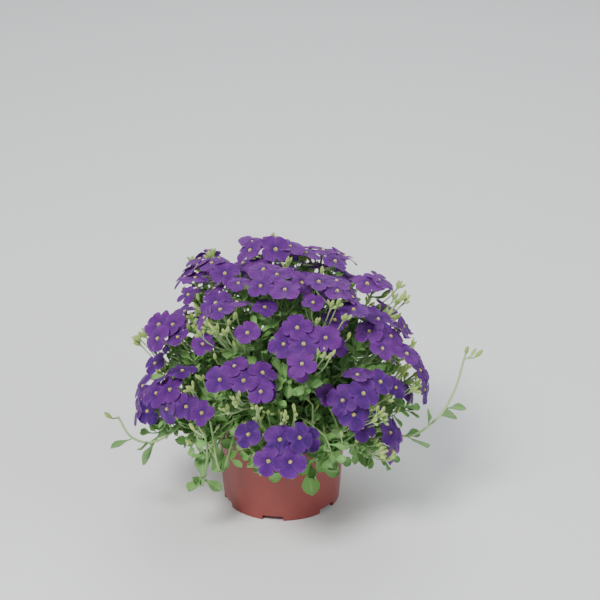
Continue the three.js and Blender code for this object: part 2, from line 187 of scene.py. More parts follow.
# Green growth that the solids leave out. Length and fresh run from their first value up by their second.
EXTRA_LEAVES = 6
SIDE_SHOOTS = 5
ROSETTE_LEAVES = 9
BUD_STALKS = 6
BUD_STALK_TRIES = 8
LEAF_TURNS = 6
ERECT_STALKS = 150
ERECT_LENGTH = 32
LONGEST_ERECT = 62
CROWN_POLAR = 1.5
CROWN_ROOTS = 44
ROOT_DEPTH = 3
SKIRT = SimpleNamespace(
    shoots=46, roots=44, radii=(0.9, 0.55), leaves=9, first_leaf=0.36, leaf_span=0.63,
    length=(12, 9), fresh=(0.45, 0.55), draws=87, key=2000,
)
OUTER = SimpleNamespace(
    shoots=18, roots=42, radii=(0.9, 0.55), leaves=8, first_leaf=0.4, leaf_span=0.6,
    length=(10, 8), fresh=(0.4, 0.6), draws=135, key=8000,
)
SWEEPING = SimpleNamespace(
    shoots=38, roots=42, radii=(1.1, 0.75), leaves=3, first_leaf=0.28, leaf_span=0.42,
    length=(8, 7), fresh=(0.6, 0.4), draws=119, key=6000,
)
CROWN = SimpleNamespace(
    shoots=44, leaves=8, first_leaf=0.25, leaf_span=0.75,
    length=(12, 8), fresh=(0.05, 0.5), draws=93, key=4000,
)

# Room that the growth keeps: outside the solids' box, round a flower, and at a flower's face
ROOM = 6
FLOWER_CLEARANCE = 1.5
ROOM_BEHIND_FLOWER = 3
ROOM_BEFORE_FLOWER = 14
FACE_CLEARANCE = 2.2

UP = np.array([0.0, 0.0, 1.0])

# Directions that turns round a head, a stem with leaves and a stalk with buds are counted from
HEAD_HINT = np.array([0.2, 0.9, 0.38])
LEAF_HINT = np.array([0.3, 0.2, 0.93])
BUD_HINT = np.array([0.4, 0.1, 0.6])


# Seeded draws: the same keys always give the same number from 0 to 1. The last key tells what is drawn.
def draw(*keys):
    total = SEED
    for key, weight in zip(keys, DRAW_WEIGHTS):
        total += key * weight
    wave = sin(total) * DRAW_SPREAD
    return wave - floor(wave)


def jitter(width, *keys):
    return (draw(*keys) - 0.5) * width


def ranging(least, more, *keys):
    """A draw from least up to least + more."""
    return least + more * draw(*keys)


# Vectors
def vector(*numbers):
    return np.array(numbers, float)


def unit(v):
    return v / sqrt(v @ v)


def cross(a, b):
    product = vector(a[1] * b[2] - a[2] * b[1], a[2] * b[0] - a[0] * b[2], a[0] * b[1] - a[1] * b[0])
    return unit(product)


def distance(a, b):
    return sqrt((a - b) @ (a - b))


def polar_point(radius, azimuth, z):
    return vector(radius * cos(azimuth), radius * sin(azimuth), z)


def turns_of(sides):
    """The angles of that many sides."""
    return np.arange(sides) / sides * TURN


def circle_round(axis, hint):
    """Gives a function from an angle to the direction at that angle round axis."""
    side = cross(axis, hint)
    other = cross(axis, side)
    return lambda turn: side * cos(turn) + other * sin(turn)


def placed(points, origin, x_axis, z_axis):
    """Points of a local frame set at origin, with x and z as near these axes as they go."""
    y_axis = cross(z_axis, x_axis)
    return points @ np.array([cross(y_axis, z_axis), y_axis, unit(z_axis)]) + origin


# Curves
def bezier(a, b, c, d, steps):
    t = np.linspace(0, 1, steps + 1)[:, None]
    return list(a * (1 - t) ** 3 + b * 3 * t * (1 - t) ** 2 + c * 3 * t**2 * (1 - t) + d * t**3)


def catmull_rom(points, steps):
    """The centripetal curve through points, in steps that share them out evenly."""
    padded = [2 * points[0] - points[1], *points, 2 * points[-1] - points[-2]]
    made = []
    for n in range(steps + 1):
        place = n / steps * (len(points) - 1)
        first = min(int(place), len(points) - 2)
        p0, p1, p2, p3 = padded[first:first + 4]
        d0, d1, d2 = (sqrt(distance(a, b)) for a, b in ((p0, p1), (p1, p2), (p2, p3)))
        out = ((p1 - p0) / d0 - (p2 - p0) / (d0 + d1) + (p2 - p1) / d1) * d1
        back = ((p2 - p1) / d1 - (p3 - p1) / (d1 + d2) + (p3 - p2) / d2) * d1
        t = place - first
        square = 3 * (p2 - p1) - 2 * out - back
        cube = 2 * (p1 - p2) + out + back
        made.append(p1 + out * t + square * t**2 + cube * t**3)
    return made


def on_course(course, share):
    """The point at that share of a row of points, and the direction there."""
    segment = min(int(share * (len(course) - 1)), len(course) - 2)
    below, above = course[segment], course[segment + 1]
    return below + (above - below) * (share * (len(course) - 1) - segment), unit(above - below)


# Plan of the plant
def wall_radius(z):
    return POT_BASE_RADIUS + (POT_TOP_RADIUS - POT_BASE_RADIUS) * z / POT_HEIGHT


def soil_z(radius):
    return POT_HEIGHT - SOIL_BELOW_RIM + SOIL_CROWN * (1 - (radius / POT_TOP_RADIUS) ** 2)


def polar_at(share, lowest):
    """The angle from upright down to which that share of a cap lies, where the whole cap ends at lowest."""
    return acos(1 - share * (1 - cos(lowest)))


def dome_point(outward, polar, depth):
    """A point of the mound, at that share of the way from its centre to its surface."""
    point = outward * sin(polar) * DOME_RADIUS * depth
    point[2] = DOME_CENTRE + DOME_HEIGHT * depth * cos(polar)
    return point


def stem_curve(plan, foot, steps):
    span = distance(plan.base, foot)
    if not plan.trailing:
        return bezier(plan.base, plan.base + UP * span * 0.42, foot - plan.axis * span * 0.4, foot, steps)
    over_rim = polar_point(POT_TOP_RADIUS + 1, plan.azimuth, POT_HEIGHT + 9 + jitter(4, plan.i, 4))
    sag_z = min(POT_HEIGHT - 9 + jitter(8, plan.i, 8), foot[2] + 6)
    sag = polar_point(POT_TOP_RADIUS + 22, plan.azimuth + jitter(0.1, plan.i, 5), sag_z)
    rise = plan.base + UP * 10 + plan.outward * 3
    return catmull_rom([plan.base, rise, over_rim, sag, foot], steps)


def plan_spray(i):
    """A leafy stem that ends in a head of flowers."""
    share = (i + 0.5) / SPRAYS
    azimuth = i * GOLDEN_ANGLE + FIRST_AZIMUTH + jitter(0.16, i, 1)
    polar = polar_at(share**CROWDING, LOWEST_POLAR)
    trailing = polar > TRAILING_POLAR
    reach = 1 + jitter(0.12, i, 2) + (0.02 if trailing else 0)
    outward = polar_point(1, azimuth, 0)
    lean = cross(UP, outward) * jitter(0.3, i, 3)
    axis = unit(UP * (cos(polar) + UPTURN) + outward * sin(polar) + lean)
    fork = dome_point(outward, polar, reach) - axis * FORK_DEPTH
    foot = fork - axis * FOOT_DEPTH
    crown = CROWN_RADIUS * sqrt(share)
    top = fork + axis * (FORK_DEPTH + TOP_RISE + jitter(2, i, 6))
    end = top - axis * (PETAL_THICKNESS + GAP) - axis * CALYX_LENGTH
    plan = SimpleNamespace(
        i=i, name=f"spray_{i + 1:02d}", node=f"leafy_stem_{i + 1:02d}", azimuth=azimuth, trailing=trailing,
        outward=outward, axis=axis, fork=fork, base=polar_point(crown, azimuth, soil_z(crown)), top=top,
        leaves=4 if trailing else 3, buds=None, flowering=True,
    )
    plan.points = [*stem_curve(plan, foot, 4 if trailing else 3), end]
    plan.course = [*stem_curve(plan, foot, STEM_STEPS), end]
    return plan


def plan_shoot(n, name, leaves, buds, route):
    """A flowerless shoot that hangs over the rim, through listed points."""
    route = [vector(*point) for point in route]
    route[0][2] = soil_z(hypot(route[0][0], route[0][1]))
    points = catmull_rom(route, 7)
    axis = unit(points[-1] - points[-2])
    return SimpleNamespace(
        i=SPRAYS + n, name=name + "_growth", node=name, attempt=0, trailing=True,
        outward=unit(points[-1] * vector(1, 1, 0)), axis=axis, fork=points[-1] - axis * 2, base=route[0],
        points=points, course=catmull_rom(route, STEM_STEPS), leaves=leaves, buds=buds,
        flowering=False,
    )


def places_round(plan):
    """Where a head's places start, the directions round it, and how many flowers it has.

    One flower tops the fork, and three to five stand round it in five places. The fewest leave room for buds.
    """
    start = draw(plan.i, plan.attempt, 9) * TURN
    return start, circle_round(plan.axis, HEAD_HINT), 4 + floor(2.4 * draw(plan.i, 7))


def plan_flowers(plan):
    start, towards, count = places_round(plan)
    made = []
    for j in range(count):
        def vary(width, kind):
            return jitter(width, plan.i + 100 * plan.attempt, j, kind)

        radius = FLOWER_RADIUS + vary(SIZE_RANGE, 10)
        if j == 0:
            radial, normal, centre = towards(start + TOP_TURN + vary(0.5, 11)), plan.axis, plan.top
        else:
            spoke = towards(start + (j - 1) / PLACES * TURN + vary(0.6, 11))
            tilt = RING_TILT + vary(TILT_RANGE, 12)
            normal = unit(plan.axis * cos(tilt) + spoke * sin(tilt))
            raised = plan.fork + plan.axis * (FORK_DEPTH + vary(RISE_RANGE, 13))
            centre = raised + spoke * (FLOWER_SPACING + vary(SPACING_RANGE, 14))
            radial = towards(start + vary(TURN, 15))
        made.append(SimpleNamespace(
            i=plan.i, j=j, radial=radial, normal=normal, centre=centre, radius=radius,
        ))
    return made


def petal_plans(flower):
    """The number, middle angle and droop of each of a flower's four petals."""
    for petal in range(4):
        droop = -PETAL_DROOP + jitter(1.6, flower.i * 10 + flower.j, petal, 16)
        yield petal, (petal + 0.5) * pi / 2, droop


def on_flower(flower, points):
    """Points given from the flower's centre, as points of the plant."""
    return placed(points, flower.centre, flower.radial, flower.normal)


def calyx_foot(flower):
    return flower.centre - flower.normal * (PETAL_THICKNESS + GAP + CALYX_LENGTH)


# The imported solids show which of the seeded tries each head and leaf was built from
def misfit(points, node):
    """How far points lie, on average, from that node's nearest corners."""
    gaps = np.linalg.norm(points[:, None] - solid_corners[node][None], axis=2)
    return gaps.min(axis=1).mean()


def find_head(plan):
    for plan.attempt in range(HEAD_TRIES):
        plan.round = plan_flowers(plan)
        tips = [
            on_flower(flower, polar_point(flower.radius, middle + turn, droop))
            for flower in plan.round
            for _, middle, droop in petal_plans(flower)
            for turn in (-PETAL_SPREAD, PETAL_SPREAD)
        ]
        if misfit(np.array(tips), f"flowers_{plan.i + 1:02d}") < HEAD_MISFIT:
            return
    raise RuntimeError(f"no try fits the packed head {plan.i + 1}")


def leaf_tries(plan, n):
    """The directions that leaf n of a stem was tried in, each with the leaf's upper side."""
    share = LOWEST_LEAF + n / plan.leaves * (HIGHEST_LEAF - LOWEST_LEAF) + jitter(0.06, plan.i, n, 20)
    root, tangent = on_course(plan.points, share)
    towards = circle_round(tangent, LEAF_HINT)
    for attempt in range(LEAF_TRIES):
        away = towards((n + attempt) * GOLDEN_ANGLE + draw(plan.i, 21) * TURN)
        direction = away + tangent * 0.45 + plan.outward * (0.55 if plan.trailing else 0.35)
        direction = unit(direction - UP * (0.3 if plan.trailing else 0))
        facing = UP + plan.outward * 0.6
        up = facing - direction * (facing @ direction)
        if sqrt(up @ up) >= 0.3:
            yield root, direction, unit(up)


def find_leaves(plan):
    """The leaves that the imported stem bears: each takes the first try whose corners the solid has."""
    corners = np.array([(0.7, -1), (0.8, -0.62), (1, 0), (0.8, 0.62), (0.7, 1)])
    across = corners[:, 1]
    found = []
    for n in range(plan.leaves):
        size = ranging(0.85, 0.35, plan.i, n, 22)
        fold = ranging(0.8, 1.4, plan.i, n, 23)
        length, width = LEAF_LENGTH * size, LEAF_WIDTH * size
        outline = np.stack([corners[:, 0] * length, across * width / 2, fold * np.abs(across)], axis=1)
        for root, direction, up in leaf_tries(plan, n):
            tips = placed(outline, root + up * LEAF_THICKNESS / 2, direction, up)
            if misfit(tips, plan.node) < LEAF_MISFIT:
                found.append((root, direction, up, length, width, fold))
                break
    return found


# Meshes
class Growth:
    """Closed surfaces gathered into one mesh. Each point keeps its grain: how far it lies along and across
    its blade or stem, and the tint of that blade or stem."""

    def __init__(self):
        self.points = []
        self.grain = []
        self.faces = []
        self.face_materials = []
        self.count = 0

    def add(self, points, along, across, tint, faces, material=0):
        grain = np.empty((len(points), 3))
        grain[:, 0] = along
        grain[:, 1] = across
        grain[:, 2] = tint
        self.points.append(points)
        self.grain.append(grain)
        self.faces.extend([tuple(corner + self.count for corner in face) for face in faces])
        self.face_materials.extend([material] * len(faces))
        self.count += len(points)


def sheet_faces(rows, columns):
    """Faces of an upper grid, of a lower grid that follows it, and of the strip that joins their edges."""
    index = np.arange((rows + 1) * (columns + 1)).reshape(rows + 1, columns + 1)
    upper = np.stack([index[:-1, :-1], index[1:, :-1], index[1:, 1:], index[:-1, 1:]], axis=-1).reshape(-1, 4)
    lower = upper[:, ::-1] + index.size
    rim = [*index[:-1, 0], *index[-1, :-1], *index[:0:-1, -1], *index[0, :0:-1]]
    strip = [(a, a + index.size, b + index.size, b) for a, b in zip(rim, [*rim[1:], rim[0]])]
    return [tuple(map(int, face)) for face in [*upper, *lower, *strip]]


PETAL_FACES = sheet_faces(PETAL_ROWS, PETAL_COLUMNS)
LEAF_FACES = sheet_faces(len(LEAF_OUTLINE) - 1, LEAF_COLUMNS)
PETAL_U, PETAL_V = np.meshgrid(
    1 - (1 - np.linspace(0, 1, PETAL_ROWS + 1)) ** 1.5, np.linspace(-1, 1, PETAL_COLUMNS + 1), indexing="ij")
LEAF_U, LEAF_V = np.meshgrid(
    [share for share, _ in LEAF_OUTLINE], np.linspace(-1, 1, LEAF_COLUMNS + 1), indexing="ij")
LEAF_HALF = np.array([half for _, half in LEAF_OUTLINE])[:, None]


def closed_sheet(x, y, z, thickness):
    """The upper points of a sheet and then its lower points, as one list."""
    return np.concatenate([np.stack([x, y, level], axis=-1).reshape(-1, 3) for level in (z, z - thickness)])


def twice(grid):
    return np.tile(grid.ravel(), 2)


def add_petal(growth, flower, middle, droop, tint, *keys):
    """A broad petal: a narrow claw that dips into the throat, a wide blade and a round, wavy tip."""
    u, v, radius = PETAL_U, PETAL_V, flower.radius
    ruffle, roll, cup, lift = (draw(*keys, key) for key in (32, 36, 37, 38))
    half = np.interp(u, PETAL_SHARES, PETAL_HALF_WIDTHS)
    wave = np.cos(3 * pi * v + ruffle * TURN)
    bend = PETAL_TIP_BEND * u**2 * v**2
    x = radius * (PETAL_START + PETAL_REACH * u - bend + PETAL_FRILL * wave * u**4)
    y = radius * half * v * (0.96 + 0.1 * ruffle)
    throat = np.clip(1 - u / THROAT_SHARE, 0, 1) ** 2
    crease = np.exp(-(v / 0.22) ** 2) * u * (1.1 - u)
    z = droop * u**2 - THROAT_DEPTH * throat - PETAL_CREASE * radius * crease
    z += y * PETAL_ROLL * (2 * roll - 1) * u + radius * PETAL_LIFT * (2 * lift - 1) * u**2
    z += radius * ((PETAL_CUP * cup - 0.03) * v**2 * u + PETAL_WAVE * wave * u**2)
    edge = np.maximum(np.abs(v), np.clip(2 * u - 1, 0, 1))
    points = closed_sheet(x, y, z, PETAL_FINE_THICKNESS * (1 - 0.6 * edge**2))
    turned = placed(points, vector(0, 0, 0), polar_point(1, middle, 0), UP)
    # The lower points take their own tint, for the painted light on the petal's lower side
    tints = np.repeat([min(tint, 1), LIT_UNDERSIDE_TINT], u.size)
    growth.add(on_flower(flower, turned), twice(np.hypot(x, y) / radius), twice(v), tints, PETAL_FACES)


def add_leaf(growth, root, direction, up, length, width, fold, tint, wave):
    """A spatula of a leaf: a narrow foot, a blade folded along its midrib, blunt teeth round its tip."""
    u, v = LEAF_U, LEAF_V
    x = length * (u - 0.06 * u**4 * v**2)
    y = width / 2 * LEAF_HALF * v
    ramp = np.clip((u - 0.2) / 0.5, 0, 1)
    z = fold * np.abs(v) ** 1.4 * ramp - 0.05 * length * np.clip(u - 0.4, 0, 1) ** 2
    z += 0.3 * np.sin(u * 9 + wave * 6) * v**2 * ramp
    edge = np.maximum(np.abs(v), np.clip(3 * u - 2, 0, 1))
    points = closed_sheet(x, y, z, LEAF_FINE_THICKNESS * (1 - 0.6 * edge**2))
    world = placed(points, root + up * LEAF_FINE_THICKNESS / 2, direction, up)
    growth.add(world, twice(u), twice(v), tint, LEAF_FACES, LEAF)


def ring_faces(rings, sides):
    """Faces of a surface through rings of points, with a flat face at each end."""
    faces = [tuple(range(sides))[::-1], tuple(range((rings - 1) * sides, rings * sides))]
    for ring in range(rings - 1):
        for side in range(sides):
            a, b = ring * sides + side, ring * sides + (side + 1) % sides
            faces.append((a, b, b + sides, a + sides))
    return faces


def add_tube(growth, points, radii, sides, tint, material):
    """A round stem through a row of points, each with its own radius."""
    across = cross(points[1] - points[0], vector(0.31, 0.17, 0.94))
    turns = turns_of(sides)
    rings = []
    for n, point in enumerate(points):
        forward = unit(points[min(n + 1, len(points) - 1)] - points[max(n - 1, 0)])
        across = unit(across - forward * (across @ forward))
        other = cross(forward, across)
        rings.append(point + radii[n] * (np.cos(turns)[:, None] * across + np.sin(turns)[:, None] * other))
    along = np.repeat(np.linspace(0, 1, len(points)), sides)
    side = np.tile(turns / pi - 1, len(points))
    growth.add(np.concatenate(rings), along, side, tint, ring_faces(len(points), sides), material)


def add_turned(growth, foot, axis, profile, sides, flutes, tint, material):
    """A turned form along axis, from a profile of (radius, height, rise of its four lobes)."""
    turns = turns_of(sides)
    lobes = np.cos(4 * turns)
    rings = [
        np.stack([
            radius * (1 + flutes * lobes) * np.cos(turns),
            radius * (1 + flutes * lobes) * np.sin(turns),
            height + rise * lobes,
        ], axis=1)
        for radius, height, rise in profile
    ]
    local = np.concatenate(rings)
    world = placed(local, foot, circle_round(axis, vector(0.3, 0.5, 0.8))(0), axis)
    top = max(height for _, height, _ in profile)
    along = np.clip(local[:, 2] / top, 0, 1)
    growth.add(world, along, np.tile(turns / pi - 1, len(profile)), tint,
               ring_faces(len(profile), sides), material)


# Profiles of (radius, height, rise of the lobes) for the small turned forms
CALYX = (
    (0.75, 0, 0), (1.35, 0.5, 0), (1.6, 1.6, 0), (1.5, 3, 0), (1.35, 4.6, 0), (1.5, 6, 0.1), (1.7, 7.1, 0.35),
    (1.45, 7, 0.35), (0.9, 5.8, 0),
)
BUD = (
    (0.6, 0, 0), (1.1, 0.6, 0), (1.55, 2.2, 0), (1.6, 4, 0), (1.35, 5.6, 0), (0.95, 6.8, 0), (0.3, 7.6, 0),
)
ANTHER = ((0.12, 0, 0), (0.42, 0.3, 0), (0.46, 0.9, 0), (0.15, 1.3, 0))

# Places in a green piece's list of materials
LEAF, STEM, SEPAL = 0, 1, 2


# Twigs, buds and calyces
def add_twig(growth, start, heading, end, end_heading, radii, tint):
    """A stem that leaves start along heading and comes to end along end_heading. Returns its points."""
    span = distance(start, end)
    course = bezier(start, start + heading * span * 0.4, end - end_heading * span * 0.35, end, TWIG_STEPS)
    widths = np.linspace(radii[0], radii[1], len(course))
    add_tube(growth, course, widths, TWIG_SIDES, tint, STEM)
    return course


def add_bud(growth, foot, axis, size, tint):
    profile = [(radius * size, height * size, 0) for radius, height, _ in BUD]
    add_turned(growth, foot, axis, profile, BUD_SIDES, 0.08, tint, SEPAL)


def add_bud_stalk(growth, start, heading, end, end_heading, radii, size, tint, bud_tint=None):
    add_twig(growth, start, heading, end, end_heading, radii, tint)
    add_bud(growth, end, end_heading, size, tint if bud_tint is None else bud_tint)


def add_calyx(growth, flower, tint):
    add_turned(growth, calyx_foot(flower), flower.normal, CALYX, CALYX_SIDES, 0.1, tint, SEPAL)


def add_calyx_stalk(growth, flower, start, heading, radii, tint):
    """The calyx behind a flower, and the stalk that bears it."""
    add_calyx(growth, flower, tint)
    foot = calyx_foot(flower)
    add_twig(growth, start, heading, foot + flower.normal * 0.5, flower.normal, radii, tint)


# Where growth that the solids leave out may go
def from_faces(points, centres, normals):
    """How far each point lies from each flower's axis, and how high over its face."""
    offsets = np.asarray(points)[:, None] - centres
    height = (offsets * normals).sum(axis=2)
    return np.sqrt(np.maximum((offsets**2).sum(axis=2) - height**2, 0)), height


def clear_of_flowers(points):
    """True if no point is in the way of a flower, from a little behind its face to well before it."""
    radial, height = from_faces(points, flower_centres, flower_normals)
    over = (height > -ROOM_BEHIND_FLOWER) & (height < ROOM_BEFORE_FLOWER)
    return not ((radial < FLOWER_RADIUS + FLOWER_CLEARANCE) & over).any()


def clear_of_pot(points):
    """True if every point is outside the pot's wall, or above its rim or its compost."""
    for x, y, z in points:
        radius = hypot(x, y)
        if z < POT_HEIGHT + 1 and wall_radius(z) - WALL - 1 < radius < wall_radius(z) + LIP_OUT + 1:
            return False
        if radius < POT_TOP_RADIUS and z < soil_z(radius) + 1:
            return False
    return True


def within_box(points):
    return all((box_low - ROOM < point).all() and (point < box_high + ROOM).all() for point in points)


def has_room(points):
    return within_box(points) and clear_of_flowers(points) and clear_of_pot(points)


def leaf_along(growth, course, share, facing, lean, length, tint, key):
    """Adds a leaf at that share of a stem, turned until it has room, or leaves it out."""
    root, tangent = on_course(course, share)
    towards = circle_round(tangent, LEAF_HINT)
    raised = facing + tangent * 0.3
    width = length * ranging(0.44, 0.14, key, 51)
    for attempt in range(LEAF_TURNS):
        away = towards((key + attempt) * GOLDEN_ANGLE)
        direction = unit(away + tangent * lean + facing * 0.25)
        up = raised - direction * (raised @ direction)
        if sqrt(up @ up) < 0.2:
            continue
        up = unit(up)
        side = cross(up, direction)
        outline = [root + direction * length * part + side * width * half
                   for part, half in ((0.4, 0), (0.7, 0.5), (0.7, -0.5), (1, 0))]
        if has_room(outline):
            fold = ranging(0.8, 1.6, key, 52)
            add_leaf(growth, root, direction, up, length, width, fold, tint, draw(key, 53))
            return


def add_leaves(growth, course, kind, k, facing):
    """The leaves of shoot k of a kind. Its draws and key set its seeded draws apart from other kinds'."""
    for n in range(kind.leaves):
        share = kind.first_leaf + kind.leaf_span * (n + 1) / kind.leaves
        length = ranging(*kind.length, k, n, kind.draws)
        fresh = ranging(*kind.fresh, k, n, kind.draws + 1)
        leaf_along(growth, course, share, facing, 0.5, length, fresh, kind.key + k * 20 + n)


# Single flowers between the heads
def face_points(flower):
    """Points over a flower's face and down its calyx."""
    towards = circle_round(flower.normal, HEAD_HINT)
    spokes = [towards(n / 5 * pi) for n in range(10)]
    face = [flower.centre + spoke * flower.radius * share for share in (0.5, 1) for spoke in spokes]
    calyx = [flower.centre - flower.normal * depth for depth in (0, 3, 6, 9)]
    return np.array([*face, *calyx])


def crosses_face(points, flower):
    """True if a point is at that flower's face, or nearly."""
    radial, height = from_faces(points, flower.centre, flower.normal)
    return ((radial < flower.radius + 0.5) & (np.abs(height) < FACE_CLEARANCE)).any()


def nearest_spray(point, share):
    """The spray whose stem, at that share of its length, is nearest to a point."""
    return min(sprays, key=lambda plan: distance(on_course(plan.course, share)[0], point))


def plan_single(n, share):
    """A smaller flower near the mound's surface, that share of the way down it."""
    polar = polar_at(share, LOWEST_POLAR)
    outward = polar_point(1, n * GOLDEN_ANGLE + jitter(0.3, n, 101), 0)
    lean = cross(UP, outward) * jitter(0.8, n, 103)
    upward = UP * (cos(polar) + UPTURN + jitter(0.5, n, 104))
    normal = unit(upward + outward * sin(polar) + lean)
    flower = SimpleNamespace(
        i=BETWEEN_KEY, j=n, normal=normal, centre=dome_point(outward, polar, ranging(0.87, 0.13, n, 102)),
        radial=circle_round(normal, vector(0.3, 0.9, 0.2))(n), radius=BETWEEN_RADIUS + jitter(2, n, 105),
    )
    flower.points = face_points(flower)
    return flower


def clear_of_faces(flower, others):
    near = [other for other in others if distance(other.centre, flower.centre) < HEAD_REACH]
    return not any(crosses_face(flower.points, other) or crosses_face(other.points, flower) for other in near)


def plan_between():
    """Single flowers in the room between the heads, each on a stalk from the nearest stem."""
    made = []
    for n in range(BETWEEN_TRIES):
        share = (n + 0.5) / BETWEEN_TRIES
        flower = plan_single(n, share)
        spacing = BETWEEN_SPACING_TOP + (BETWEEN_SPACING_LOW - BETWEEN_SPACING_TOP) * share
        if any(distance(other.centre, flower.centre) < spacing for other in made):
            continue
        if not clear_of_faces(flower, heads):
            continue
        foot = calyx_foot(flower)
        plan = nearest_spray(foot, 0.7)
        flower.root, flower.tangent = on_course(plan.course, ranging(0.55, 0.2, n, 106))
        stalk = np.array([flower.root + (foot - flower.root) * part for part in (0.5, 0.65, 0.8, 0.9)])
        if any(crosses_face(stalk, other) for other in [*heads, *made]):
            continue
        if within_box(flower.points) and clear_of_pot(flower.points):
            made.append(flower)
    return made


# Pieces
def show(name, data):
    """Puts a new object with that data into the scene."""
    shown = bpy.data.objects.new(name, data)
    bpy.context.scene.collection.objects.link(shown)
    return shown


def show_piece(name, mesh, materials, face_materials, sharp_degrees, slot, *nodes):
    """Shows a smooth piece that rides on the part's only body and stands for these nodes."""
    mesh.materials.clear()
    for material in materials:
        mesh.materials.append(material)
    mesh.polygons.foreach_set("material_index", face_materials)
    mesh.polygons.foreach_set("use_smooth", [True] * len(face_materials))
    mesh.set_sharp_from_angle(angle=radians(sharp_degrees))
    mesh.update()
    piece = show(name, mesh)
    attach(piece, "root")
    if nodes:
        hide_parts(*nodes)


def finish_piece(name, growth, materials, slot, *nodes):
    mesh = bpy.data.meshes.new(name)
    mesh.from_pydata(np.concatenate(growth.points) * MM, [], growth.faces)
    grain = mesh.attributes.new("grain", "FLOAT_VECTOR", "POINT")
    grain.data.foreach_set("vector", np.concatenate(growth.grain).astype(np.float32).ravel())
    show_piece(name, mesh, materials, growth.face_materials, 50, slot, *nodes)


def grow_flower(petals, eyes, flower):
    key = flower.i * 10 + flower.j
    for petal, middle, droop in petal_plans(flower):
        tint = draw(key, 30) + jitter(PETAL_TINT_RANGE, key, petal, 31)
        add_petal(petals, flower, middle, droop, tint, key, petal)
    towards = circle_round(flower.normal, flower.radial + flower.normal * 0.1)
    for n in range(ANTHERS):
        spoke = towards(n / ANTHERS * TURN)
        foot = flower.centre + spoke * 0.55 - flower.normal * 0.9
        axis = unit(flower.normal + spoke * 0.35)
        add_turned(eyes, foot, axis, ANTHER, 6, 0, draw(flower.i, n, 33), 0)


def grow_stem(growth, plan):
    """The main stem, up to the calyx of the flower that tops it."""
    buried = plan.base - UP * (HOLE_DEPTH - 2 * GAP)
    radii = np.linspace(STEM_BASE_RADIUS, STEM_TIP_RADIUS, len(plan.course))
    add_tube(growth, [buried, *plan.course], [STEM_BASE_RADIUS, *radii], STEM_SIDES, draw(plan.i, 34), STEM)
    for n, leaf in enumerate(find_leaves(plan)):
        add_leaf(growth, *leaf, ranging(0.3, 0.6, plan.i, n, 37), draw(plan.i, n, 38))


def grow_stalks(growth, plan):
    for flower in plan.round:
        tint = draw(plan.i, flower.j, 35)
        if flower.j:
            root = plan.fork - plan.axis * 1.2 * flower.j
            add_calyx_stalk(growth, flower, root, plan.axis, (0.6, STALK_RADIUS), tint)
        else:
            add_calyx(growth, flower, tint)


def grow_buds(growth, plan):
    start, towards, count = places_round(plan)
    buds = (2 if count == 4 else 0) if plan.buds is None else plan.buds
    for n in range(buds):
        spread = (n - (buds - 1) / 2) * BUD_FAN + jitter(0.2, plan.i + 100 * plan.attempt, n, 17)
        lean = towards(start - pi / 2 + spread)
        root = plan.fork - plan.axis * (1 + n)
        foot = plan.fork + plan.axis * 5 + lean * 8.5
        heading = unit(plan.axis * 7.5 + lean * 4.4)
        size = 1.1 * ranging(0.8, 0.4, plan.i, n, 18)
        tint = draw(plan.i, n, 36)
        add_bud_stalk(growth, root, plan.axis, foot, heading, (0.6, STALK_RADIUS), size, tint)


def grow_side_shoots(growth, plan):
    """Leafy side shoots end in rosettes between the heads, a little below the flowers."""
    towards = circle_round(plan.axis, HEAD_HINT)
    first = draw(plan.i, 40) * TURN
    for k in range(SIDE_SHOOTS):
        root, tangent = on_course(plan.course, ranging(0.45, 0.35, plan.i, k, 41))
        spoke = towards(first + k * TURN / SIDE_SHOOTS + jitter(0.6, plan.i, k, 42))
        reach = ranging(17, 12, plan.i, k, 43)
        end = plan.fork + spoke * reach - plan.axis * ranging(2, 14, plan.i, k, 44)
        if not has_room([end]):
            continue
        heading = unit(plan.axis + spoke * 0.5)
        tint = draw(plan.i, k, 45)
        course = add_twig(growth, root, unit(tangent + spoke * 0.5), end, heading, (0.8, 0.6), tint)
        for n in range(ROSETTE_LEAVES):
            share = 0.4 + 0.58 * (n + 1) / ROSETTE_LEAVES
            length = ranging(10, 8, plan.i + k, n, 46) - 3 * share
            fresh = ranging(0.25, 0.5, plan.i + k, n, 47) + 0.2 * share
            leaf_along(growth, course, share, plan.axis, 0.45, length, fresh, plan.i * 50 + k * 10 + n)


def bud_stalk_end(plan, k, towards):
    """Where bud stalk k of a spray ends, and the direction out to it, or None if no try has room."""
    for attempt in range(BUD_STALK_TRIES):
        spoke = towards(draw(plan.i, k, 60) * TURN + attempt * GOLDEN_ANGLE)
        above = plan.axis * ranging(6, 9, plan.i, k, 62)
        end = plan.fork + spoke * ranging(13, 14, plan.i, k, 61) + above
        tip = end + plan.axis * 6
        if clear_of_flowers([end, tip]) and within_box([tip]):
            return end, spoke
    return None


def grow_bud_stalks(growth, plan):
    """Pale stalks stand among the flowers, each with a few buds at its top."""
    towards = circle_round(plan.axis, HEAD_HINT)
    for k in range(BUD_STALKS):
        found = bud_stalk_end(plan, k, towards)
        if found is None:
            continue
        end, spoke = found
        root, tangent = on_course(plan.course, ranging(0.45, 0.4, plan.i, k, 63))
        heading = unit(plan.axis + spoke * 0.15)
        tint = ranging(0.4, 0.6, plan.i, k, 64)
        add_bud_stalk(growth, root, unit(tangent + spoke * 0.4), end, heading, (0.65, 0.5), 0.9, tint)
        around = circle_round(heading, BUD_HINT)
        for n in range(2):
            lean = unit(heading + around(n * 2.6 + draw(plan.i, k, 65) * 6) * 0.6)
            foot = end - heading * (1.5 + 2 * n) + lean * 4
            size = ranging(0.55, 0.3, plan.i + k, n, 66)
            add_bud_stalk(growth, end - heading * (3 + 2 * n), heading, foot, lean, (0.4, 0.45), size, tint)


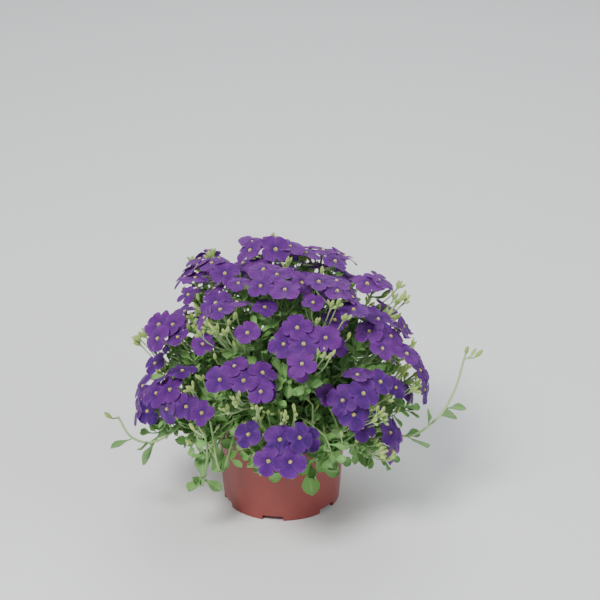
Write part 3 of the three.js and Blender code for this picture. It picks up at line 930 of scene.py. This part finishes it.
def grow_extra_leaves(growth, plan):
    facing = unit(UP + plan.outward * 0.7)
    for n in range(EXTRA_LEAVES):
        share = 0.22 + 0.62 * (n + 0.5) / EXTRA_LEAVES + jitter(0.06, plan.i, n, 70)
        length = ranging(13, 8, plan.i, n, 71)
        fresh = ranging(0.1, 0.5, plan.i, n, 72)
        leaf_along(growth, plan.course, share, facing, 0.4, length, fresh, plan.i * 30 + n)


def rooted(radius, azimuth):
    """Where a shoot starts, a little under the compost."""
    return polar_point(radius, azimuth, soil_z(radius) - ROOT_DEPTH)


def add_rim_shoot(growth, kind, k, course, tint, facing):
    """The stem and leaves of a shoot that hangs over the rim."""
    add_tube(growth, course, np.linspace(*kind.radii, len(course)), TWIG_SIDES, tint, STEM)
    add_leaves(growth, course, kind, k, facing)


def grow_skirt(growth, k):
    """A short leafy shoot over the rim, which hides it."""
    azimuth = (k + jitter(0.4, k, 80)) / SKIRT.shoots * TURN
    rise = polar_point(SKIRT.roots + 2, azimuth, soil_z(SKIRT.roots) + 9)
    over_z = ranging(POT_HEIGHT + 6, 3, k, 82)
    over = polar_point(POT_TOP_RADIUS + 4, azimuth + jitter(0.08, k, 81), over_z)
    reach = ranging(POT_TOP_RADIUS + 7, 9, k, 84)
    end = polar_point(reach, azimuth + jitter(0.3, k, 85), ranging(54, 19, k, 83))
    course = catmull_rom([rooted(SKIRT.roots, azimuth), rise, over, end], RIM_STEPS)
    add_rim_shoot(growth, SKIRT, k, course, draw(k, 86), unit(polar_point(1, azimuth, 0) + UP * 0.5))


def grow_outer(growth, k):
    """A leafy shoot that lies out beyond the rim, under the lowest flowers."""
    azimuth = (k + jitter(0.6, k, 130)) / OUTER.shoots * TURN + 0.1
    turned = azimuth + jitter(0.5, k, 131)
    outward = polar_point(1, turned, 0)
    over = polar_point(POT_TOP_RADIUS + 3, azimuth, POT_HEIGHT + 9)
    end = polar_point(ranging(76, 20, k, 132), turned, ranging(66, 22, k, 133))
    before = end - outward * 10 + UP * 7
    course = catmull_rom([rooted(OUTER.roots, azimuth), over, before, end], RIM_STEPS)
    add_rim_shoot(growth, OUTER, k, course, ranging(0.3, 0.5, k, 134), unit(outward * 0.6 + UP))


def grow_sweeping(growth, k):
    """A long pale stalk that hangs over the rim and sweeps up again, with buds and a few leaves."""
    azimuth = (k + jitter(0.7, k, 110)) / SWEEPING.shoots * TURN + 0.2
    turned = azimuth + jitter(0.5, k, 111)
    reach = ranging(74, 24, k, 112)
    over = polar_point(POT_TOP_RADIUS + 3, azimuth, POT_HEIGHT + 8)
    sag = polar_point(reach - 12, (azimuth + turned) / 2, ranging(58, 22, k, 113))
    end = polar_point(reach, turned, ranging(96, 34, k, 114))
    course = catmull_rom([rooted(SWEEPING.roots, azimuth), over, sag, end], SWEEPING_STEPS)
    if not (within_box(course) and clear_of_flowers(course[12:])):
        return
    radii = np.linspace(*SWEEPING.radii, len(course))
    add_tube(growth, course, radii, TWIG_SIDES, ranging(0.7, 0.3, k, 115), STEM)
    around = circle_round(unit(course[-1] - course[-2]), BUD_HINT)
    for n in range(4):
        root, tangent = on_course(course, 0.78 + 0.07 * n)
        lean = unit(tangent + around(n * 2.1 + 6 * draw(k, 116)) * 0.7)
        foot = root + lean * (9 - 1.5 * n)
        if clear_of_flowers([foot, foot + lean * 6]):
            size, tint = ranging(0.6, 0.35, k, n, 117), draw(k, n, 118)
            add_bud_stalk(growth, root, tangent, foot, lean, (0.5, 0.5), size, 0.8, tint)
    add_leaves(growth, course, SWEEPING, k, UP)


def grow_crown(growth, k):
    """A leafy shoot that fills the mound, from the compost to somewhere under the flowers."""
    share = (k + 0.5) / CROWN.shoots
    polar = polar_at(share, CROWN_POLAR)
    azimuth = k * GOLDEN_ANGLE + 1.3
    outward = polar_point(1, azimuth + jitter(0.4, k, 90), 0)
    base = rooted(CROWN_ROOTS * sqrt(share), azimuth)
    end = dome_point(outward, polar, ranging(0.45, 0.37, k, 91))
    heading = unit(UP + outward * sin(polar) * 0.6)
    course = add_twig(growth, base, UP, end, heading, (1, 0.6), draw(k, 92))
    add_leaves(growth, course, CROWN, k, UP)


def grow_erect(growth, k):
    """A pale stalk with a bud on top, which stands up in the room between the flowers."""
    polar = polar_at((k + 0.5) / ERECT_STALKS, LOWEST_POLAR)
    outward = polar_point(1, k * GOLDEN_ANGLE + 2.1 + jitter(0.3, k, 140), 0)
    tip = dome_point(outward, polar, ranging(0.9, 0.1, k, 141))
    heading = unit(UP + outward * 0.35 * sin(polar) + cross(UP, outward) * jitter(0.4, k, 142))
    below = tip - heading * ERECT_LENGTH
    root, tangent = on_course(nearest_spray(below, 0.62).course, ranging(0.5, 0.25, k, 143))
    if not (within_box([tip]) and clear_of_pot([tip]) and distance(root, tip) < LONGEST_ERECT):
        return
    if not clear_of_flowers([below + (tip - below) * part for part in (0.4, 0.6, 0.8, 1)]):
        return
    tint = ranging(0.5, 0.5, k, 144)
    add_twig(growth, root, tangent, tip - heading * 6, heading, (0.7, 0.5), tint)
    add_bud(growth, tip - heading * 6.5, heading, ranging(0.8, 0.2, k, 145), tint)


# Materials
class Shader:
    """A material with one principled surface: short calls for nodes, and a colour that layers go over."""

    def __init__(self, name, roughness, **sockets):
        self.material = bpy.data.materials.new(name)
        self.material.use_nodes = True
        self.tree = self.material.node_tree
        self.surface = self.tree.nodes["Principled BSDF"]
        self.surface.inputs["Roughness"].default_value = roughness
        for socket, value in sockets.items():
            self.surface.inputs[socket.replace("_", " ")].default_value = value

    def join(self, value, socket):
        if isinstance(value, bpy.types.NodeSocket):
            self.tree.links.new(value, socket)
        else:
            socket.default_value = (*value, 1) if isinstance(value, tuple) else value

    def node(self, kind, *values):
        """A new node, with these numbers or sockets joined to its first inputs."""
        made = self.tree.nodes.new("ShaderNode" + kind)
        for value, socket in zip(values, made.inputs):
            self.join(value, socket)
        return made

    def grain(self):
        """How far along, how far across, and the tint."""
        attribute = self.node("Attribute")
        attribute.attribute_name = "grain"
        return self.node("SeparateXYZ", attribute.outputs["Vector"]).outputs

    def place(self):
        return self.node("TexCoord").outputs["Object"]

    def height(self):
        """Metres above the floor."""
        return self.node("SeparateXYZ", self.place()).outputs["Z"]

    def noise(self, per_metre, detail=3):
        texture = self.node("TexNoise", self.place())
        texture.inputs["Scale"].default_value = per_metre
        texture.inputs["Detail"].default_value = detail
        return texture.outputs["Fac"]

    def crinkle(self, value, depth):
        """Raises the surface by up to that many metres where the value is high."""
        bump = self.node("Bump")
        bump.inputs["Distance"].default_value = depth
        self.join(value, bump.inputs["Height"])
        self.join(bump.outputs["Normal"], self.surface.inputs["Normal"])

    def math(self, operation, a, b=0.0):
        node = self.node("Math", a, b)
        node.operation = operation
        return node.outputs[0]

    def times(self, a, b):
        return self.math("MULTIPLY", a, b)

    def spread(self, value, low, high, to_low=0.0, to_high=1.0):
        """Maps low to high onto to_low to to_high, held at both ends."""
        return self.node("MapRange", value, low, high, to_low, to_high).outputs["Result"]

    def blend(self, factor, a, b):
        """Makes the colour run from a to b with the factor."""
        node = self.node("Mix", factor)
        node.data_type = "RGBA"
        self.join(a, node.inputs[6])
        self.join(b, node.inputs[7])
        self.colour = node.outputs[2]

    def tinted(self, tint, low, high):
        self.blend(self.spread(tint, 0, 1), low, high)

    def over(self, factor, colour):
        """Lays a colour over what there is, as far as the factor says."""
        self.blend(factor, self.colour, colour)

    def finished(self):
        self.join(self.colour, self.surface.inputs["Base Color"])
        return self.material


def petal_material():
    """Violet by tint, redder towards the top, with a dark throat round a yellow ring, a painted highlight
    along the side edges and painted light on the lower side.
    """
    shader = Shader("petal", 0.6, Sheen_Weight=0.08, Sheen_Roughness=0.5, Specular_IOR_Level=0.2,
                    Subsurface_Weight=0.35, Subsurface_Radius=(0.6, 0.25, 0.8), Subsurface_Scale=0.002)
    along, across, tint = shader.grain()
    shader.tinted(tint, (0.042, 0.0055, 0.152), (0.1, 0.01, 0.182))
    dark = shader.spread(tint, 0.45, 0, 0, 0.8)
    shader.over(dark, (0.027, 0.0045, 0.112))
    raised = shader.spread(shader.height(), 0.09, 0.2, 0, 0.45)
    shader.over(raised, (0.16, 0.018, 0.21))
    patches = shader.spread(shader.noise(120), 0.35, 0.65)
    shader.over(shader.times(patches, 0.3), (0.16, 0.03, 0.28))
    # Lighter towards the side edges: a painted highlight along the petal margins.
    edge = shader.spread(shader.math("ABSOLUTE", across), 0.5, 1, 0, 0.36)
    shader.over(edge, (0.19, 0.045, 0.32))
    throat = shader.spread(along, 0.14, 0.6, 0.65, 0)
    shader.over(throat, (0.035, 0.004, 0.11))
    veins = shader.spread(shader.math("SINE", shader.times(across, 22)), 0.2, 1)
    shader.over(shader.times(veins, 0.18), (0.04, 0.004, 0.11))
    # Paler on the lower side: painted light that stands in for light shining through the thin petal.
    lit_underside = shader.spread(tint, 1.1, 1.4, 0, 0.75)
    shader.over(lit_underside, (0.24, 0.1, 0.34))
    ring = shader.spread(along, 0.1, 0.14, 0.9, 0)
    shader.over(ring, (0.78, 0.66, 0.2))
    shader.crinkle(shader.noise(220), 0.0018)
    return shader.finished()


def leaf_material():
    """Green by tint, with pale patches and veins and a sheen of fine hairs."""
    shader = Shader("leaf", 0.6, Sheen_Weight=0.15, Sheen_Roughness=0.6, Specular_IOR_Level=0.3)
    along, across, tint = shader.grain()
    shader.tinted(tint, (0.055, 0.17, 0.04), (0.2, 0.46, 0.1))
    patches = shader.spread(shader.noise(160), 0.3, 0.7)
    shader.over(shader.times(patches, 0.3), (0.22, 0.4, 0.13))
    middle = shader.math("ABSOLUTE", across)
    slant = shader.math("SUBTRACT", shader.times(along, 42), shader.times(middle, 9))
    side_veins = shader.times(shader.spread(shader.math("SINE", slant), 0.75, 1), 0.3)
    midrib = shader.spread(middle, 0.04, 0.16, 0.7, 0)
    shader.over(shader.math("MAXIMUM", side_veins, midrib), (0.3, 0.45, 0.2))
    return shader.finished()


def stem_material():
    """Pale green by tint, with brownish patches."""
    shader = Shader("stem", 0.55, Sheen_Weight=0.2, Sheen_Roughness=0.6, Specular_IOR_Level=0.3)
    _, _, tint = shader.grain()
    shader.tinted(tint, (0.17, 0.35, 0.1), (0.4, 0.58, 0.25))
    shader.over(shader.spread(shader.noise(90), 0.4, 0.7, 0, 0.35), (0.34, 0.38, 0.2))
    return shader.finished()


def sepal_material():
    """Yellowish green by tint. Buds of a low tint are violet at the tip, where the petals show."""
    shader = Shader("sepal", 0.55, Sheen_Weight=0.16, Sheen_Roughness=0.6, Specular_IOR_Level=0.3)
    along, _, tint = shader.grain()
    shader.tinted(tint, (0.18, 0.34, 0.06), (0.42, 0.58, 0.14))
    opening = shader.spread(tint, 0.4, 0.25, 0, 0.85)
    shader.over(shader.times(shader.spread(along, 0.55, 0.8), opening), (0.13, 0.02, 0.24))
    shader.over(shader.spread(along, 0.6, 1, 0, 0.3), (0.34, 0.2, 0.26))
    return shader.finished()


def anther_material():
    shader = Shader("anther", 0.7)
    shader.blend(shader.spread(shader.noise(600), 0.3, 0.7), (0.74, 0.5, 0.07), (0.95, 0.88, 0.4))
    return shader.finished()


def pot_material():
    """Reddish plastic, faintly clouded and speckled."""
    shader = Shader("pot_plastic", 0.42, Specular_IOR_Level=0.45)
    cloud = shader.spread(shader.noise(25, 4), 0.3, 0.7)
    shader.blend(cloud, (0.255, 0.048, 0.043), (0.315, 0.066, 0.059))
    shader.over(shader.spread(shader.noise(900, 2), 0.62, 0.75, 0, 0.25), (0.37, 0.11, 0.095))
    return shader.finished()


def compost_material():
    shader = Shader("compost_crumb", 0.95)
    grains = shader.spread(shader.noise(420, 5), 0.35, 0.68)
    shader.blend(grains, (0.012, 0.007, 0.004), (0.085, 0.05, 0.028))
    return shader.finished()


# Pot
def rounded(profile, radius, steps=4):
    """A closed profile of (r, z) with each of its corners rounded, except those on the axis."""
    made = []
    for n, corner in enumerate(profile):
        corner = vector(*corner)
        if corner[0] == 0:
            made.append(corner)
            continue
        back, out = profile[n - 1] - corner, profile[(n + 1) % len(profile)] - corner
        back_length, out_length = np.linalg.norm(back), np.linalg.norm(out)
        cut = min(radius, back_length * 0.45, out_length * 0.45)
        start = corner + back / back_length * cut
        end = corner + out / out_length * cut
        for t in np.linspace(0, 1, steps + 1):
            made.append(start * (1 - t) ** 2 + corner * 2 * t * (1 - t) + end * t**2)
    return made


def show_form(name, points, faces):
    mesh = bpy.data.meshes.new(name)
    mesh.from_pydata(np.array(points) * MM, [], faces)
    return show(name, mesh)


def turned_form(name, profile, sides):
    """A form turned from a closed profile whose first and last points are on the axis."""
    inner = profile[1:-1]
    points = [(0, 0, profile[0][1]), (0, 0, profile[-1][1])]
    for radius, z in inner:
        points.extend((radius * cos(turn), radius * sin(turn), z) for turn in turns_of(sides))
    faces = []
    last = 2 + (len(inner) - 1) * sides
    for side in range(sides):
        after = (side + 1) % sides
        faces.append((0, 2 + after, 2 + side))
        faces.append((1, last + side, last + after))
        for ring in range(len(inner) - 1):
            a, b = 2 + ring * sides + side, 2 + ring * sides + after
            faces.append((a, b, b + sides, a + sides))
    return show_form(name, points, faces)


def hole_cutter(azimuth):
    """A round bar through the channel's floor."""
    middle = (CHANNEL_INNER_RADIUS + POT_BASE_RADIUS - FOOT_WIDTH) / 2
    circle = [(middle + DRAIN_RADIUS * cos(turn), DRAIN_RADIUS * sin(turn)) for turn in turns_of(16)]
    points = [(x * cos(azimuth) - y * sin(azimuth), x * sin(azimuth) + y * cos(azimuth), z)
              for z in (-CHANNEL_HEIGHT, 3 * CHANNEL_HEIGHT) for x, y in circle]
    return show_form("cutter", points, ring_faces(2, len(circle)))


def notch_cutter(azimuth):
    """A low arch through the foot, as wide as the notch, with round upper corners."""
    half, depth, rounding = NOTCH_WIDTH / 2, FOOT_WIDTH + 4, 1.5
    arch = [(-half, -NOTCH_HEIGHT), (half, -NOTCH_HEIGHT)]
    for centre, first in ((half - rounding, 0), (rounding - half, pi / 2)):
        for turn in np.linspace(first, first + pi / 2, 5):
            top = NOTCH_HEIGHT - rounding + rounding * sin(turn)
            arch.append((centre + rounding * cos(turn), top))
    outward, sideways = polar_point(1, azimuth, 0), polar_point(1, azimuth + pi / 2, 0)
    points = [outward * radius + sideways * across + UP * z
              for radius in (POT_BASE_RADIUS - depth, POT_BASE_RADIUS + depth) for across, z in arch]
    return show_form("cutter", points, ring_faces(2, len(arch)))


def make_pot():
    foot_inner = POT_BASE_RADIUS - FOOT_WIDTH
    channel_top = CHANNEL_HEIGHT + FLOOR_THICKNESS
    lip_z = POT_HEIGHT - LIP_HEIGHT
    profile = rounded(
        [
            (0, 0), (CHANNEL_INNER_RADIUS, 0), (CHANNEL_INNER_RADIUS + FLOOR_THICKNESS, CHANNEL_HEIGHT),
            (foot_inner - FLOOR_THICKNESS, CHANNEL_HEIGHT), (foot_inner, 0), (POT_BASE_RADIUS, 0),
            (wall_radius(lip_z), lip_z), (wall_radius(lip_z) + LIP_OUT, lip_z),
            (POT_TOP_RADIUS + LIP_OUT, POT_HEIGHT), (POT_TOP_RADIUS - WALL, POT_HEIGHT),
            (wall_radius(channel_top) - WALL, channel_top), (CHANNEL_INNER_RADIUS, channel_top),
            (CHANNEL_INNER_RADIUS - FLOOR_THICKNESS, FLOOR_THICKNESS), (0, FLOOR_THICKNESS),
        ],
        0.9,
    )
    whole = turned_form("whole_pot", profile, POT_SIDES)
    cutters = []
    for n in range(NOTCHES):
        azimuth = FIRST_NOTCH + n / NOTCHES * TURN
        cutters += [notch_cutter(azimuth), hole_cutter(azimuth + pi / NOTCHES)]
    for made in cutters:
        cut = whole.modifiers.new("cut", "BOOLEAN")
        cut.operation = "DIFFERENCE"
        cut.object = made
    bpy.context.view_layer.update()
    mesh = bpy.data.meshes.new_from_object(whole.evaluated_get(bpy.context.evaluated_depsgraph_get()))
    for made in [whole, *cutters]:
        bpy.data.objects.remove(made)
    mesh.name = "plastic_pot"
    show_piece("plastic_pot", mesh, [pot_material()], [0] * len(mesh.polygons), 35, "pot", "pot")


# Compost: a turned filling with a rough top
def make_compost():
    channel_top = CHANNEL_HEIGHT + FLOOR_THICKNESS + GAP
    top_z = POT_HEIGHT - SOIL_BELOW_RIM
    edge = wall_radius(top_z) - WALL - GAP
    low = [
        (0.5, FLOOR_THICKNESS + GAP),
        (CHANNEL_INNER_RADIUS - FLOOR_THICKNESS - GAP, FLOOR_THICKNESS + GAP),
        (CHANNEL_INNER_RADIUS - GAP, channel_top),
        (wall_radius(channel_top) - WALL - GAP, channel_top),
        (edge, top_z),
    ]
    turns = turns_of(COMPOST_SIDES)
    rings = [(r, [z] * COMPOST_SIDES) for r, z in low]
    for n, r in enumerate(np.linspace(edge - 1.5, 0.5, 26)):
        rough = [soil_z(r) + jitter(2.4, n, side, 95) * min(1, r / 6) for side in range(COMPOST_SIDES)]
        rings.append((r, rough))
    points = [np.stack([r * np.cos(turns), r * np.sin(turns), heights], axis=1) for r, heights in rings]
    growth = Growth()
    growth.add(np.concatenate(points), 0, 0, 0, ring_faces(len(rings), COMPOST_SIDES))
    finish_piece("compost_fill", growth, [compost_material()], "compost", "compost")


# Floor, light and camera, in metres
def make_stage():
    """A pale floor that curves up into a backdrop."""
    profile = [(-4, 0), (2.2, 0)]
    profile += [(2.2 + sin(turn), 1 - cos(turn)) for turn in np.linspace(0.1, pi / 2, 16)]
    profile.append((3.2, 5))
    points = [(x, y, z) for y, z in profile for x in (-6, 6)]
    faces = [(2 * n, 2 * n + 1, 2 * n + 3, 2 * n + 2) for n in range(len(profile) - 1)]
    mesh = bpy.data.meshes.new("studio_floor")
    mesh.from_pydata(points, [], faces)
    mesh.polygons.foreach_set("use_smooth", [True] * len(faces))
    mesh.materials.append(Shader("studio_floor", 0.7, Base_Color=(0.86, 0.87, 0.88, 1)).material)
    show("studio_floor", mesh)


def make_light(name, place, size, watts, colour):
    """A round lamp, aimed at the middle of the plant."""
    data = bpy.data.lights.new(name, "AREA")
    data.shape = "DISK"
    data.size = size
    data.energy = watts
    data.color = colour
    lamp = show(name, data)
    lamp.location = place
    aim = np.array([0, 0, 0.1]) - np.array(place)
    from_z = atan2(hypot(aim[0], aim[1]), -aim[2])
    lamp.rotation_euler = (from_z, 0, atan2(-aim[0], aim[1]))


def make_world():
    world = bpy.data.worlds.new("studio")
    world.use_nodes = True
    background = world.node_tree.nodes["Background"].inputs
    background["Color"].default_value = (0.9, 0.95, 1, 1)
    background["Strength"].default_value = 0.29
    bpy.context.scene.world = world


def make_camera():
    """The photograph's view: 24.7 degrees down, through a long lens."""
    data = bpy.data.cameras.new("view")
    data.lens = 132
    data.sensor_width = 36
    camera = show("view", data)
    camera.location = (0.015, -1.575, 0.898)
    camera.rotation_euler = (radians(90 - 24.7), 0, 0)
    bpy.context.scene.camera = camera


# The whole plant in its pot
box_low, box_high = (np.array(corner) / MM for corner in cad_box)
solid_corners = {
    name: np.array([corner.co for corner in node.data.vertices]) / MM for name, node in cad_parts.items()
}
sprays = [plan_spray(i) for i in range(SPRAYS)]
for plan in sprays:
    find_head(plan)
heads = [flower for plan in sprays for flower in plan.round]
for flower in heads:
    flower.points = face_points(flower)
between = plan_between()
flower_centres = np.array([flower.centre for flower in [*heads, *between]])
flower_normals = np.array([flower.normal for flower in [*heads, *between]])

make_pot()
make_compost()
green = [leaf_material(), stem_material(), sepal_material()]
petal = petal_material()
eyes = Growth()
for plan in [*sprays, *(plan_shoot(n, *shoot) for n, shoot in enumerate(SHOOTS))]:
    growth = Growth()
    grow_stem(growth, plan)
    grow_buds(growth, plan)
    if plan.flowering:
        grow_stalks(growth, plan)
        grow_side_shoots(growth, plan)
        grow_bud_stalks(growth, plan)
        blossom = Growth()
        for flower in plan.round:
            grow_flower(blossom, eyes, flower)
        finish_piece(f"{plan.name}_petals", blossom, [petal], "flowers", f"flowers_{plan.i + 1:02d}")
    grow_extra_leaves(growth, plan)
    finish_piece(f"{plan.name}_green", growth, green, "foliage", plan.node)

blossom = Growth()
stalks = Growth()
for flower in between:
    add_calyx_stalk(stalks, flower, flower.root, flower.tangent, (0.7, 0.6), draw(flower.j, 107))
    grow_flower(blossom, eyes, flower)
for k in range(ERECT_STALKS):
    grow_erect(stalks, k)
finish_piece("between_petals", blossom, [petal], "flowers")
finish_piece("between_stalks", stalks, green, "foliage")
finish_piece("flower_eyes", eyes, [anther_material()], None)

for name, kinds in (
    ("skirt_shoots", ((grow_skirt, SKIRT), (grow_outer, OUTER))),
    ("sweeping_stalks", ((grow_sweeping, SWEEPING),)),
    ("crown_shoots", ((grow_crown, CROWN),)),
):
    growth = Growth()
    for grow, kind in kinds:
        for k in range(kind.shoots):
            grow(growth, k)
    finish_piece(name, growth, green, "foliage")

make_stage()
make_light("key_light", (-0.7, -1.1, 1.7), 0.8, 46, (1, 0.98, 0.95))
make_light("fill_light", (1.3, -0.6, 1.1), 1.6, 12, (0.94, 0.97, 1))
make_light("back_light", (0.1, 1.2, 1.5), 1.2, 14, (1, 1, 1))
make_world()
make_camera()
